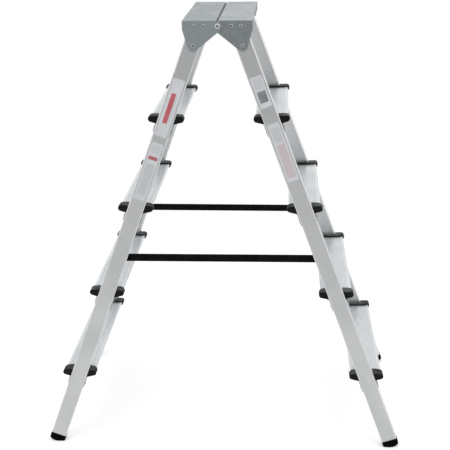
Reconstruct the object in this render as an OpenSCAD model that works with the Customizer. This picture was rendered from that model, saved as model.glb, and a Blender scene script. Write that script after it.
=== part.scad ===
// Double-sided step ladder: two leaning aluminium sections hinged under a split sheet-steel platform.
// X runs across the sections, Y along the treads and Z up. The origin is on the floor, amid the feet.
// Every piece is drawn on the right section at the far end, and mirrored to its own side and end.

/* [Overall] */
// Height of the platform's top above the floor
platform_h = 1110; // [1050:5:1400]
// Lean of each section from the vertical when the ladder stands open, degrees
lean = 20.2; // [15:0.1:25]
// Lean at which the treads would lie level, degrees
tread_lean = 18; // [15:0.1:25]
// Spread of each stile away from the middle as it goes down, degrees
flare = 3; // [1:0.1:5]
// Height from the first tread up to the platform's top
step_drop = 231; // [200:0.5:260]
// Height from one tread to the next
step_pitch = 225; // [180:0.5:250]

/* [Stiles] */
// Wide face of the stile tube
stile_w = 40; // [32:1:50]
// Narrow face of the stile tube
stile_t = 20; // [16:1:30]
// Wall of the stile tube
stile_wall = 1.5; // [1:0.1:2.5]
// Outer corner radius of the stile tube
stile_r = 3; // [2.6:0.1:5]

/* [Treads] */
// Depth of a tread, from nose to nose
tread_w = 80; // [65:1:105]
// Thickness of a tread at its middle
tread_h = 13.5; // [12:0.5:20]
// Radius of a tread's noses and lower corners
tread_r = 3.75; // [3:0.05:5]
// Width of the flat strip under a tread that rests on the brackets
tread_flat = 28; // [20:1:36]
// Wall of the tread extrusion
tread_wall = 2; // [1.5:0.1:2.5]
// Distance between the ribs on a tread
rib_pitch = 5; // [4:0.5:8]
// Width of the groove between two ribs
groove_w = 2; // [1:0.1:3]
// Depth of the grooves
groove_d = 0.7; // [0.3:0.1:1]

/* [Tread caps] */
// Wall of the cap round the tread
cap_wall = 3.85; // [1.5:0.05:4.5]
// Thickness of the cap's end wall, between tread and stile
cap_end = 3; // [2:0.1:5]
// Length of tread that the cap covers at its middle
cap_mid = 16; // [14:1:36]
// Length of tread that the cap covers at its noses
cap_nose = 6; // [4:1:12]
// Width of the straight part of the cap's inner edge
cap_flat = 40; // [24:1:50]
// How far the cap reaches outwards past both sides of the stile
cap_wrap = 14; // [4:0.5:16]

/* [Step brackets] */
// Sheet thickness of the bracket
bracket_t = 2; // [1.5:0.1:3]
// Length of the clip along the stile, below the shelf
clip_h = 23; // [18:1:32]
// Reach of the clip's arms over the stile's narrow faces
clip_arm = 14; // [10:0.5:16]
// Width of the shelf under the tread
shelf_w = 36; // [28:1:44]
// Length of the shelf under the tread
shelf_l = 18; // [14:1:40]
// Distance of the shelf's rivets from the stile
shelf_rivet_y = 9; // [7:0.5:10]
// Distance between the shelf's two rivets
shelf_rivet_gap = 17; // [12:0.5:18]

/* [Platform] */
// Width of the platform over both halves
platform_w = 167; // [150:1:210]
// Length of the platform over the outer cheeks
platform_l = 384; // [300:1:470]
// Thickness of the platform sheet
sheet_t = 2; // [1.5:0.1:2.5]
// Gap between the two halves at the top
split_gap = 6; // [2:0.1:8]
// Depth of the edge that is folded down along the gap, from the platform's top
flange_h = 12; // [6:0.5:12]
// Distance of the folded edge's ends from the stiles' outer faces
flange_end = 9; // [8.5:0.5:20]
// Depth of the pivot axis below the platform's top
hinge_drop = 12.7; // [12.5:0.1:18]
// Radius of the cheek round the pivot
eye_r = 11.5; // [9:0.1:11.5]
// Depth of that radius's centre below the pivot axis
eye_low = 1.2; // [1:0.1:2]
// Radius of the cheek round its lowest rivet
lobe_r = 13; // [9:0.1:14]
// Length of the straight side of a cheek, from the platform's top
cheek_side = 20; // [16:0.5:30]
// Depth of the cheek's lowest rivet below the pivot axis
lobe_drop = 46; // [38:0.5:56]
// Distance of the lowest rivet from the stile's centreline, towards the middle
lobe_in = 4; // [0:0.5:8]
// Distance of the inner top rivet from the stile's centreline
rivet_in = 13; // [8:0.5:14]
// Distance of the outer top rivet from the stile's centreline
rivet_out = 9; // [6:0.5:14]

/* [Feet] */
// Height of the rubber along the inner edge of the stile
foot_h = 14; // [10:0.5:24]
// How far the foot stands proud of the tube all round
foot_lip = 0.5; // [0:0.1:2]
// Width of the flat part of the sole
foot_flat = 14; // [10:0.5:20]
// Height of the sole's outer edge above the floor, where its curve ends
foot_rise = 12.7; // [5:0.1:16]
// Length of the plug inside the tube
plug_l = 30; // [15:1:60]
// Distance between the grooves of the sole
sole_pitch = 3.5; // [3:0.1:5]
// Width and depth of a groove in the sole
sole_groove = 1.1; // [0.6:0.1:1.6]

/* [Straps] */
// Height of the straps above the tread below them
strap_rise = 88; // [35:1:110]
// Width of the webbing
strap_w = 20; // [15:1:30]
// Thickness of the webbing
strap_t = 1.5; // [1:0.1:2.5]
// Length of webbing past its rivet
strap_tail = 13; // [12:0.5:16]
// Length and height of a clamp plate
plate_w = 18; // [14:0.5:22]
// Thickness of a clamp plate
plate_t = 1.5; // [1:0.1:2.5]

/* [Rivets] */
// Radius of a blind rivet's shank
rivet_r = 2; // [1.6:0.1:2.4]
// Radius of a blind rivet's head
rivet_head_r = 4.4; // [3:0.1:5]
// Height of a blind rivet's head
rivet_head_h = 1.4; // [1:0.1:2]
// Length of a blind rivet's tail
rivet_tail = 3; // [2:0.1:4]
// Radius of a pivot rivet's shank
pivot_r = 3; // [2.5:0.1:4]
// Radius of a pivot rivet's head
pivot_head_r = 6.5; // [5:0.1:8]
// Height of a pivot rivet's head
pivot_head_h = 2.4; // [2:0.1:4]

/* [Stickers] */
// Width of the stickers on the near stiles
label_w = 30; // [20:1:32]
// Thickness of the stickers
label_t = 0.3; // [0.2:0.05:0.5]
// Upper end of the left upper sticker below the platform's top
left_upper_drop = 137; // [100:1:145]
// Height of the left upper sticker
left_upper_h = 139; // [100:1:145]
// Upper end of the left lower sticker below the platform's top
left_lower_drop = 292; // [291:1:400]
// Height of the left lower sticker
left_lower_h = 143; // [100:1:145]
// Upper end of the right upper sticker below the platform's top
right_upper_drop = 131; // [100:1:145]
// Height of the right upper sticker
right_upper_h = 74; // [50:1:90]
// Upper end of the right lower sticker below the platform's top
right_lower_drop = 244; // [240:1:400]
// Height of the right lower sticker
right_lower_h = 142; // [100:1:145]

/* [Clearances] */
// Clearance of rivets in their holes and of clips on the stile
fit = 0.1; // [0.05:0.05:0.3]
// Clearance of the pivot rivets in the cheeks
pivot_fit = 0.05; // [0.02:0.01:0.1]
// Clearance between a tread and its caps
cap_clear = 0.15; // [0.1:0.05:0.5]
// Clearance of the webbing from the stile and from its clamp plate
strap_fit = 0.01; // [0.01:0.01:0.05]
// Clearance of the foot's plug in the tube
plug_clear = 0.2; // [0.1:0.05:0.5]
// Gap between the noses of facing treads when the ladder is folded
fold_gap = 2; // [2:0.5:20]
// Gap between the cheeks of the two platform halves
cheek_gap = 0.8; // [0.7:0.05:1.5]

/* [Hidden] */
$fn = 48;
LEFT = -1;
RIGHT = 1;
NEAR = -1;
FAR = 1;
SIDES = [["left", LEFT], ["right", RIGHT]];
ENDS = [["near", NEAR], ["far", FAR]];
STEPS = [1 : 4];
SIDE_PARTS = ["bracket_rivets", "platform", "platform_rivets", "strap_plates", "strap_rivets", "labels"];

// Longer than any piece, for cutting solids
reach = 3 * platform_h;
// Turn of one facet in a rounded corner, degrees
facet = 15;

hinge_z = platform_h - hinge_drop;
cap_grow = cap_clear + cap_wall;
cap_w = tread_w + 2 * cap_grow;
// Stile centreline: its distance from the pivot, square to the section and level
section_d = cap_w / 2 * cos(tread_lean) + fold_gap / 2;
stile_x = section_d / cos(lean);
// Lower end of the tube, measured down the stile from the pivot
stile_len = (hinge_z + (section_d - stile_w / 2) * sin(lean)) / cos(lean) / cos(flare) - foot_h;
// Corner centres of the tread's outline, which is rounded by tread_r
tread_core = let (nose = tread_w / 2 - tread_r, foot = tread_flat / 2)
    [[-foot, tread_r - tread_h], [foot, tread_r - tread_h], [nose, -tread_r], [-nose, -tread_r]];
// Underside of a cap, which rests on the shelf, below the tread's top
cap_base = tread_h + cap_grow;
// Straps hang over the third tread from the top
strap_z = tread_z(3) + strap_rise;
// Tilt of the stiles' inner faces from the vertical, and their turn from the ladder's X
strap_tilt = atan(tan(flare) * cos(lean));
strap_turn = asin(sin(flare) * sin(lean));
// Rivet of a strap: its place up the section from the pivot, and across
strap_up = along(strap_z) * cos(flare) - stile_t * sin(flare);
strap_x = section_d * cos(lean) - strap_up * sin(lean);
// Radius of the curved ends of the cap's inner edge
cap_arch_r = (pow((cap_w - cap_flat) / 2, 2) + pow(cap_mid - cap_nose, 2)) / 2 / (cap_mid - cap_nose);
rib_count = floor((tread_w / 2 - 2 * tread_r) / rib_pitch);
// Rivets of a cheek, across and up from the pivot
cheek_rivets = [[stile_x - rivet_in, 0], [stile_x + rivet_out, 0],
                [stile_x + lobe_drop * tan(lean) - lobe_in, -lobe_drop]];
// Clip: inner half width, and height of its arms' rivets below the shelf
clip_half = stile_w / 2 + fit;
clip_rivet_drop = clip_h * 0.55;

// Distance of a stile's outer face from the middle, level with the pivot
// The left cheeks lie outside the right ones
function half_l(side) = platform_l / 2 - sheet_t - (side == RIGHT ? sheet_t + cheek_gap : 0);
function tread_z(k) = platform_h - step_drop - (k - 1) * step_pitch;
// Across, at the stile's centreline
function stile_x_at(z) = stile_x + (hinge_z - z) * tan(lean);
function tread_x(k) = stile_x_at(tread_z(k) - tread_h / 2);
function shelf_z(k) = tread_z(k) - cap_base;
// Place of a height along the stile, measured up from the pivot
function along(z) = ((z - hinge_z) / cos(lean) - section_d * tan(lean)) / cos(flare);
// Distance of a stile's inner face from the middle, at its centreline
function inner_y(side, z) = half_l(side) - stile_t / cos(flare) - along(z) * sin(flare);
// Distance of a strap's rivet from the middle, at the stile's inner face
function strap_y(side) = half_l(side) - stile_t * cos(flare) - along(strap_z) * sin(flare);
// Across, where a line down the section at distance d from the pivot meets the floor
function floor_x(d) = hinge_z * tan(lean) + d / cos(lean);

function arc(centre, r, from, to) = let (n = ceil((to - from) / facet)) [
    for (j = [0 : n]) let (a = from + (to - from) * j / n) centre + r * [cos(a), sin(a)]
];
// Convex counter-clockwise outline with every corner rounded outwards by r
function rounded(pts, r) = [
    for (i = [0 : len(pts) - 1])
        let (n = len(pts), p = pts[i], a = pts[(i + n - 1) % n], b = pts[(i + 1) % n],
             from = atan2(p.y - a.y, p.x - a.x) - 90,
             turn = (atan2(b.y - p.y, b.x - p.x) - 90 - from + 720) % 360)
            each arc(p, r, from, from + turn)
];

module rounded_box(w, h, r) {
    x = w / 2 - r;
    y = h / 2 - r;
    polygon(rounded([[-x, -y], [x, -y], [x, y], [-x, y]], r));
}

// Mirrors a piece of the far right corner to its own side and end
module place(side, end = FAR) {
    mirror([side == LEFT ? 1 : 0, 0, 0]) mirror([0, end == NEAR ? 1 : 0, 0]) children();
}

// Frame of a stile: origin on its outer face level with the pivot, Y outwards, Z up the stile
module on_stile(side) {
    translate([0, 0, hinge_z]) rotate([0, -lean, 0]) translate([section_d, half_l(side), 0])
        rotate([flare, 0, 0]) children();
}

// Frame on a stile's outer face with its origin on the pivot axis, X level and Z up
module on_cheek(side) on_stile(side) translate([-section_d, 0, 0]) rotate([0, lean, 0]) children();

// Frame on a stile's inner face at one height, X level, Y towards the stile and Z up
module on_inner(side, z) on_stile(side) translate([0, -stile_t, along(z)]) rotate([0, lean, 0]) children();

// Frame of a tread: origin on the middle of its top, X across the tread and Z square to it
module on_tread(k) {
    translate([tread_x(k), 0, tread_z(k) - tread_h / 2]) rotate([0, tread_lean - lean, 0])
        translate([0, 0, tread_h / 2]) children();
}

// Everything nearer the middle than a plane at y in the stile's frame
module inside_of(side, y) on_stile(side) translate([-reach / 2, y - reach, -reach / 2]) cube(reach);

// Everything between two such planes, one at each end
module between(side, y) {
    intersection() {
        inside_of(side, y);
        mirror([0, 1, 0]) inside_of(side, y);
    }
}

// Everything above a height
module above(z) translate([-reach / 2, -reach / 2, z]) cube(reach);

// An outline in X and Z, given depth along Y
module sweep_y(y0, y1) translate([0, y1, 0]) rotate([90, 0, 0]) linear_extrude(y1 - y0) children();

// Blind rivet: head above its seat, shank through the grip and a swollen tail below
module rivet(grip) {
    tail_z = -grip - rivet_tail;
    rotate_extrude() polygon([
        [0, rivet_head_h * 0.2], [rivet_r * 0.65, rivet_head_h * 0.2], [rivet_r * 0.65, rivet_head_h],
        [rivet_head_r * 0.6, rivet_head_h], [rivet_head_r * 0.9, rivet_head_h * 0.6], [rivet_head_r, 0],
        [rivet_r, 0], [rivet_r, -grip], [rivet_r * 1.4, -grip], [rivet_r * 1.4, tail_z + rivet_tail * 0.3],
        [rivet_r * 0.8, tail_z], [0, tail_z]
    ]);
}

module rivet_hole(depth) translate([0, 0, -depth]) cylinder(r = rivet_r + fit, h = 2 * depth);

// Places of the rivets, each with its Z along the rivet and its seat at zero
module at_cheek_rivets(side) {
    for (p = cheek_rivets) on_cheek(side) translate([p.x, sheet_t, p.y]) rotate([-90, 0, 0]) children();
}

module at_clip_rivets(side, k) {
    seat = clip_half + bracket_t;
    z = along(shelf_z(k) - clip_rivet_drop);
    for (face = [-1, 1]) on_stile(side) translate([face * seat, clip_arm / 2 - stile_t, z])
        rotate([0, face * 90, 0]) children();
}

module at_shelf_rivets(side, k) {
    y = inner_y(side, shelf_z(k)) - shelf_rivet_y;
    for (x = [-0.5, 0.5]) on_tread(k) translate([x * shelf_rivet_gap, y, -cap_base - bracket_t])
        rotate([180, 0, 0]) children();
}

module at_strap_rivet(side) {
    on_inner(side, strap_z) translate([0, -strap_t - plate_t, 0]) rotate([90, 0, 0]) children();
}

module clip_holes(side, k) at_clip_rivets(side, k) rivet_hole(2 * bracket_t + stile_wall);

module shelf_holes(side, k) {
    at_shelf_rivets(side, k) rivet_hole(bracket_t + cap_grow + tread_wall + rivet_r);
}

// Outline of the stile tube, grown or shrunk all round
module stile_outline(grow) rounded_box(stile_w + 2 * grow, stile_t + 2 * grow, max(stile_r + grow, 0.3));

// Frame at the tube's lower end, on its centreline
module on_tube_end(side) on_stile(side) translate([0, -stile_t / 2, -stile_len]) children();

module stile(side, end) {
    color("#b9babb") place(side, end) difference() {
        on_tube_end(side) linear_extrude(stile_len + 2 * stile_w) difference() {
            stile_outline(0);
            stile_outline(-stile_wall);
        }
        above(platform_h - sheet_t);
        at_cheek_rivets(side) rivet_hole(2 * sheet_t + stile_wall);
        for (k = STEPS) clip_holes(side, k);
        at_strap_rivet(side) rivet_hole(strap_t + plate_t + 2 * stile_wall);
    }
}

module foot(side, end) {
    flat_x = floor_x(section_d - stile_w / 2 - foot_lip);
    curve_w = (stile_w + 2 * foot_lip) / cos(lean) - foot_flat - foot_rise * tan(lean);
    curve_r = (pow(curve_w, 2) + pow(foot_rise, 2)) / 2 / foot_rise;
    color("#141414") place(side, end) {
        on_tube_end(side) linear_extrude(plug_l) stile_outline(-stile_wall - plug_clear);
        difference() {
            intersection() {
                on_tube_end(side) translate([0, 0, -2 * stile_w]) linear_extrude(2 * stile_w)
                    stile_outline(foot_lip);
                // Flat sole at the inner side, rising in a curve to the outer side
                sweep_y(0, reach) translate([flat_x + foot_flat, 0]) {
                    translate([-reach, 0]) square([reach, 2 * curve_r]);
                    translate([0, curve_r]) circle(curve_r);
                    translate([0, curve_r]) square(curve_r);
                }
            }
            for (i = [1 : 3]) translate([flat_x + i * sole_pitch - sole_groove / 2, 0, -sole_groove])
                cube([sole_groove, reach, 2 * sole_groove]);
        }
    }
}

// Outline of a tread, grown or shrunk all round
module tread_outline(grow) polygon(rounded(tread_core, tread_r + grow));

// An outline swept along the whole of one tread
module along_tread(k) on_tread(k) sweep_y(-reach, reach) children();

module tread_section() {
    difference() {
        tread_outline(0);
        difference() {
            tread_outline(-tread_wall);
            for (x = [-0.5, 0.5]) translate([x * tread_flat - tread_wall / 2, -tread_h])
                square([tread_wall, tread_h]);
        }
        for (i = [-rib_count : rib_count]) translate([i * rib_pitch - groove_w / 2, -groove_d])
            square([groove_w, tread_r]);
    }
}

module tread(side, k) {
    color("#dfe2e4") place(side) difference() {
        intersection() {
            along_tread(k) tread_section();
            between(side, -stile_t - cap_end - cap_clear);
        }
        for (end = [NEAR, FAR]) place(RIGHT, end) shelf_holes(side, k);
    }
}

// Outline of a cap from above, with its inner edge arched back at both noses
module cap_plan() {
    translate([-cap_flat / 2, -cap_mid]) square([cap_flat, reach]);
    for (x = [-0.5, 0.5]) translate([x * cap_flat, cap_arch_r - cap_mid]) circle(cap_arch_r);
    translate([-cap_w, -cap_nose]) square([2 * cap_w, reach]);
}

// The stile's own space, grown at its sides and towards the middle
module stile_space(side, grow_x, grow_y) {
    on_stile(side) translate([-stile_w / 2 - grow_x, -stile_t - grow_y, -reach])
        cube([stile_w + 2 * grow_x, reach, 2 * reach]);
}

// Sleeve over the tread's end that reaches past both sides of the stile
module cap(side, end, k) {
    plan_y = inner_y(side, tread_z(k) - tread_h / 2);
    color("#1d1f20") place(side, end) difference() {
        intersection() {
            along_tread(k) tread_outline(cap_grow);
            inside_of(side, cap_wrap - stile_t);
            on_tread(k) translate([0, plan_y, -reach / 2]) linear_extrude(reach) cap_plan();
        }
        difference() {
            intersection() {
                along_tread(k) tread_outline(cap_clear);
                inside_of(side, cap_wrap - stile_t - cap_end);
            }
            stile_space(side, fit + cap_end, cap_end);
        }
        stile_space(side, fit, 0);
        shelf_holes(side, k);
    }
}

// Sheet-metal clip round the stile's inner side, with a shelf under the cap
module bracket(side, k) {
    top = shelf_z(k);
    clip_w = 2 * (clip_half + bracket_t);
    difference() {
        union() {
            intersection() {
                on_tread(k) translate([-shelf_w / 2, inner_y(side, top) - shelf_l, -cap_base - bracket_t])
                    cube([shelf_w, reach, bracket_t]);
                inside_of(side, -stile_t);
            }
            difference() {
                on_stile(side) translate([-clip_w / 2, -stile_t - bracket_t, along(top - clip_h)])
                    cube([clip_w, bracket_t + clip_arm, clip_h + stile_w]);
                stile_space(side, fit, 0);
                on_tread(k) above(-cap_base);
            }
        }
        clip_holes(side, k);
        shelf_holes(side, k);
    }
}

module brackets(side, k) color("#a6a9ab") for (end = [NEAR, FAR]) place(side, end) bracket(side, k);

module bracket_rivets(side) {
    color("#c9cbcc") for (end = [NEAR, FAR], k = STEPS) place(side, end) {
        at_clip_rivets(side, k) rivet(bracket_t + fit + stile_wall);
        at_shelf_rivets(side, k) rivet(bracket_t + cap_grow + tread_wall);
    }
}

// Cheek of a platform half: an eye round the pivot, a lobe round the lowest rivet and a straight side
module cheek_outline() {
    eye = [0, -eye_low];
    lobe = cheek_rivets[2];
    corner = [platform_w / 2, hinge_drop - cheek_side];
    eye_end = atan2(lobe.y - eye.y, lobe.x) - acos((eye_r - lobe_r) / norm(lobe - eye)) + 360;
    lobe_end = atan2(corner.y - lobe.y, corner.x - lobe.x) - acos(lobe_r / norm(corner - lobe)) + 360;
    polygon(concat(
        arc(eye, eye_r, acos(split_gap / 2 / eye_r), eye_end),
        arc(lobe, lobe_r, eye_end, lobe_end),
        [corner, [corner.x, hinge_drop + sheet_t], [split_gap / 2, hinge_drop + sheet_t]]
    ));
}

module platform(side) {
    color("#9ba1a3") place(side) difference() {
        union() {
            intersection() {
                translate([split_gap / 2, -reach / 2, platform_h - sheet_t])
                    cube([(platform_w - split_gap) / 2, reach, sheet_t]);
                between(side, sheet_t);
            }
            intersection() {
                translate([split_gap / 2, -reach / 2, platform_h - flange_h]) cube([sheet_t, reach, flange_h]);
                between(side, -flange_end);
            }
            for (end = [NEAR, FAR]) place(RIGHT, end) difference() {
                on_cheek(side) sweep_y(0, sheet_t) cheek_outline();
                above(platform_h);
            }
        }
        for (end = [NEAR, FAR]) place(RIGHT, end) {
            at_cheek_rivets(side) rivet_hole(2 * sheet_t);
            translate([0, 0, hinge_z]) rotate([-90, 0, 0]) cylinder(r = pivot_r + pivot_fit, h = reach);
        }
    }
}

module platform_rivets(side) {
    color("#c9cbcc") for (end = [NEAR, FAR]) place(side, end)
        at_cheek_rivets(side) rivet(sheet_t + stile_wall);
}

// Rivet on the pivot axis: its hollow head seats on the left cheek, its rolled end lies inside the right
module pivot_rivet(end) {
    base_y = half_l(LEFT);
    top_y = base_y + sheet_t + pivot_head_h;
    roll_r = pivot_head_r * 0.85;
    roll_y = half_l(RIGHT) - roll_r * tan(flare) - 2 * pivot_fit;
    color("#c9cbcc") place(LEFT, end) translate([0, 0, hinge_z]) rotate([-90, 0, 0]) difference() {
        union() {
            difference() {
                rotate_extrude() polygon([
                    [0, base_y], [pivot_head_r, base_y], [pivot_head_r, top_y - pivot_head_h * 0.6],
                    [roll_r, top_y - pivot_head_h * 0.15], [pivot_head_r * 0.6, top_y], [0, top_y]
                ]);
                rotate([90, 0, 0]) translate([0, 0, -hinge_z]) inside_of(LEFT, sheet_t);
            }
            translate([0, 0, roll_y - pivot_head_h / 2]) {
                cylinder(r = pivot_r, h = top_y - roll_y);
                cylinder(r = roll_r, h = pivot_head_h / 2);
            }
        }
        translate([0, 0, base_y]) cylinder(r = pivot_r * 0.65, h = reach);
    }
}

// Corner of a strap in plan: its distance along the strap from the rivet, and from the stile's face
function strap_corner(side, dist, depth) = [
    side * (strap_x + dist * cos(strap_turn) + depth * sin(strap_turn)),
    strap_y(side) * cos(strap_tilt) + dist * sin(strap_turn) - depth * cos(strap_turn)
];

// Webbing flat on the inner faces of both stiles, straight between them
module strap(end) {
    tab = stile_w / 2 / cos(lean) + strap_w / 2 * tan(lean) + strap_t;
    spans = [strap_tail, -tab];
    mid_y = (strap_y(LEFT) + strap_y(RIGHT)) / 2;
    color("#171717") place(RIGHT, end) difference() {
        translate([0, 0, hinge_z + section_d * sin(lean) + strap_up * cos(lean)]) rotate([strap_tilt, 0, 0])
            translate([0, 0, -mid_y * sin(strap_tilt) - strap_w / 2]) linear_extrude(strap_w)
            polygon(concat(
                [for (d = spans) strap_corner(RIGHT, d, strap_fit)],
                [for (i = [1, 0]) strap_corner(LEFT, spans[i], strap_fit)],
                [for (d = spans) strap_corner(LEFT, d, strap_t - strap_fit)],
                [for (i = [1, 0]) strap_corner(RIGHT, spans[i], strap_t - strap_fit)]
            ));
        for (side = [LEFT, RIGHT]) place(side) at_strap_rivet(side) rivet_hole(strap_t + plate_t);
    }
}

module strap_plates(side) {
    color("#a6a9ab") for (end = [NEAR, FAR]) place(side, end) difference() {
        on_inner(side, strap_z) sweep_y(-strap_t - plate_t, -strap_t)
            rounded_box(plate_w, plate_w, rivet_r);
        at_strap_rivet(side) rivet_hole(2 * plate_t);
    }
}

module strap_rivets(side) {
    color("#c9cbcc") for (end = [NEAR, FAR]) place(side, end)
        at_strap_rivet(side) rivet(plate_t + strap_t + stile_wall);
}

// Blank stickers on the outer face of the near stile
module labels(side) {
    spans = side == LEFT ? [[left_upper_drop, left_upper_h], [left_lower_drop, left_lower_h]]
                         : [[right_upper_drop, right_upper_h], [right_lower_drop, right_lower_h]];
    color("#d4d7d8") place(side, NEAR) for (s = spans)
        let (high = along(platform_h - s[0]), low = along(platform_h - s[0] - s[1]))
        on_stile(side) translate([0, 0, (low + high) / 2]) sweep_y(0, label_t)
            rounded_box(label_w, high - low, rivet_r);
}

for (s = SIDES, e = ENDS) {
    stile(s[1], e[1]);
    foot(s[1], e[1]);
    for (k = STEPS) cap(s[1], e[1], k);
}
for (s = SIDES, k = STEPS) {
    tread(s[1], k);
    brackets(s[1], k);
}
for (s = SIDES) {
    bracket_rivets(s[1]);
    platform(s[1]);
    platform_rivets(s[1]);
    strap_plates(s[1]);
    strap_rivets(s[1]);
    labels(s[1]);
}
for (e = ENDS) {
    pivot_rivet(e[1]);
    strap(e[1]);
}
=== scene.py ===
"""Double-sided step ladder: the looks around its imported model.

Lengths are in metres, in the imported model's frame: X across the two sections, Y along the treads
with the near end at minus Y, and Z up from the floor.
"""

import logging
import math
from dataclasses import dataclass
from enum import Enum
from itertools import product
from typing import Any, Iterator, Optional, Sequence

import bmesh
import bpy
from mathutils import Euler, Matrix, Vector


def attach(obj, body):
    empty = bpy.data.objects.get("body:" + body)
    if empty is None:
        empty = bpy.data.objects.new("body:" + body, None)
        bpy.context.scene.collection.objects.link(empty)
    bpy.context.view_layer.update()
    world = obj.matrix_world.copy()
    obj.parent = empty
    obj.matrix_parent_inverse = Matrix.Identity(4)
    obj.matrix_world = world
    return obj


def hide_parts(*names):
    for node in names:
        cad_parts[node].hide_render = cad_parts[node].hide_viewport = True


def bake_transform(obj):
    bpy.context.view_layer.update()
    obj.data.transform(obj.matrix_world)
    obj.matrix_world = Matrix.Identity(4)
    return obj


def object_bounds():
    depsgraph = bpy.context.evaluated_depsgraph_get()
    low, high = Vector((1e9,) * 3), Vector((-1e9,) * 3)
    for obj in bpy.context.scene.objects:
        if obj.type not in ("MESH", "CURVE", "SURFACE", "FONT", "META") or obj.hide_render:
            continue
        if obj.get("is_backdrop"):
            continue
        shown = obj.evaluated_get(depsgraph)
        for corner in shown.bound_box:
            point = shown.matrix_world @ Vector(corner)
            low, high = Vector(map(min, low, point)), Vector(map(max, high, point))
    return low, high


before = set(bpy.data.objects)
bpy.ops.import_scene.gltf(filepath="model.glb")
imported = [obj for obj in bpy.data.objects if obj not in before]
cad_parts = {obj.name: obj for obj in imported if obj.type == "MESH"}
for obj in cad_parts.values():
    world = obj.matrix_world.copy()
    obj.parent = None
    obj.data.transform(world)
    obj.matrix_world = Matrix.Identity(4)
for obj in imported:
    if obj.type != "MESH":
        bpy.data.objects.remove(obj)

LOG = logging.getLogger("ladder")
MM = 0.001
IMAGE_SIDE = 450
SENSOR_WIDTH = 36.0
CLIP_START = 0.05
TREAD_COUNT = 4
STEPS = range(1, TREAD_COUNT + 1)
WELD = 1e-6
SMOOTH_ANGLE = math.radians(34)
QUARTER = math.pi / 2
WHITE = (1.0, 1.0, 1.0, 1.0)

Pair = tuple[float, float]
Triple = tuple[float, float, float]
Socket = bpy.types.NodeSocket


def linear(code: str) -> tuple[float, float, float, float]:
    """Turns a hex colour into the linear colour that a shader socket takes.

    Args:
        code: Six hex digits.

    Returns:
        Red, green, blue and an alpha of one.
    """
    parts = [int(code[i:i + 2], 16) / 255 for i in (0, 2, 4)]
    red, green, blue = (c / 12.92 if c <= 0.04045 else ((c + 0.055) / 1.055) ** 2.4 for c in parts)
    return red, green, blue, 1.0


def move(x: float, y: float, z: float) -> Matrix:
    """Makes a shift."""
    return Matrix.Translation((x, y, z))


def turn(angle: float, axis: str) -> Matrix:
    """Makes a turn about an axis through the origin."""
    return Matrix.Rotation(angle, 4, axis)


class Side(Enum):
    """A section of the ladder, as the near end shows it."""

    LEFT = "left"
    RIGHT = "right"

    @property
    def sign(self) -> int:
        """Minus one on the left, whose pieces mirror the right ones."""
        return -1 if self is Side.LEFT else 1

    @property
    def body(self) -> str:
        """Name of the body that this section's pieces ride on."""
        return f"{self.value}_frame"


class End(Enum):
    """An end of the treads."""

    NEAR = "near"
    FAR = "far"

    @property
    def sign(self) -> int:
        """Minus one at the near end, whose pieces mirror the far ones."""
        return -1 if self is End.NEAR else 1


class Slot(Enum):
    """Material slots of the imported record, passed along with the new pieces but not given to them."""

    SHEET = "galvanised_sheet"
    BRACKET = "bracket_steel"
    RIVET = "rivet_metal"
    PIVOT = "pivot_steel"
    CAP = "cap_plastic"
    FOOT = "foot_rubber"
    STRAP = "strap_webbing"
    STICKER = "sticker_film"


class Layout(Enum):
    """What a plain sticker carries."""

    BAR = "bar"
    FLAG = "flag"
    PANEL = "panel"
    PLATE = "plate"


@dataclass(frozen=True)
class Sizes:
    """Sizes that the sub-assemblies share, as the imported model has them."""

    platform_h: float = 1110 * MM
    hinge_drop: float = 12.7 * MM
    lean: float = math.radians(20.2)
    tread_lean: float = math.radians(18)
    flare: float = math.radians(3)
    step_drop: float = 231 * MM
    step_pitch: float = 225 * MM
    stile_w: float = 40 * MM
    stile_t: float = 20 * MM
    stile_wall: float = 1.5 * MM
    tread_w: float = 80 * MM
    tread_h: float = 13.5 * MM
    tread_wall: float = 2 * MM
    cap_grow: float = 4 * MM
    fold_gap: float = 2 * MM
    bracket_t: float = 2 * MM
    sheet_t: float = 2 * MM
    cheek_gap: float = 0.8 * MM
    platform_l: float = 384 * MM
    strap_rise: float = 88 * MM
    fit: float = 0.1 * MM

    @property
    def hinge_z(self) -> float:
        """Height of the pivot axis."""
        return self.platform_h - self.hinge_drop

    @property
    def section_d(self) -> float:
        """Distance of a stile's centreline from the pivot, square to the section."""
        cap_w = self.tread_w + 2 * self.cap_grow
        return cap_w / 2 * math.cos(self.tread_lean) + self.fold_gap / 2

    @property
    def stile_x(self) -> float:
        """Distance of a stile's centreline from the middle, level with the pivot."""
        return self.section_d / math.cos(self.lean)

    @property
    def strap_z(self) -> float:
        """Height of the straps' middle."""
        return self.tread_z(TREAD_COUNT - 1) + self.strap_rise

    def half_l(self, side: Side) -> float:
        """Distance of a stile's outer face from the middle, level with the pivot."""
        inset = self.sheet_t + self.cheek_gap if side is Side.RIGHT else 0.0
        return self.platform_l / 2 - self.sheet_t - inset

    def tread_z(self, step: int) -> float:
        """Height of a tread's top, counted from the top."""
        return self.platform_h - self.step_drop - (step - 1) * self.step_pitch

    def along(self, z: float) -> float:
        """Place of a height along the stile, measured up from the pivot."""
        level = (z - self.hinge_z) / math.cos(self.lean)
        return (level - self.section_d * math.tan(self.lean)) / math.cos(self.flare)


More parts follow.
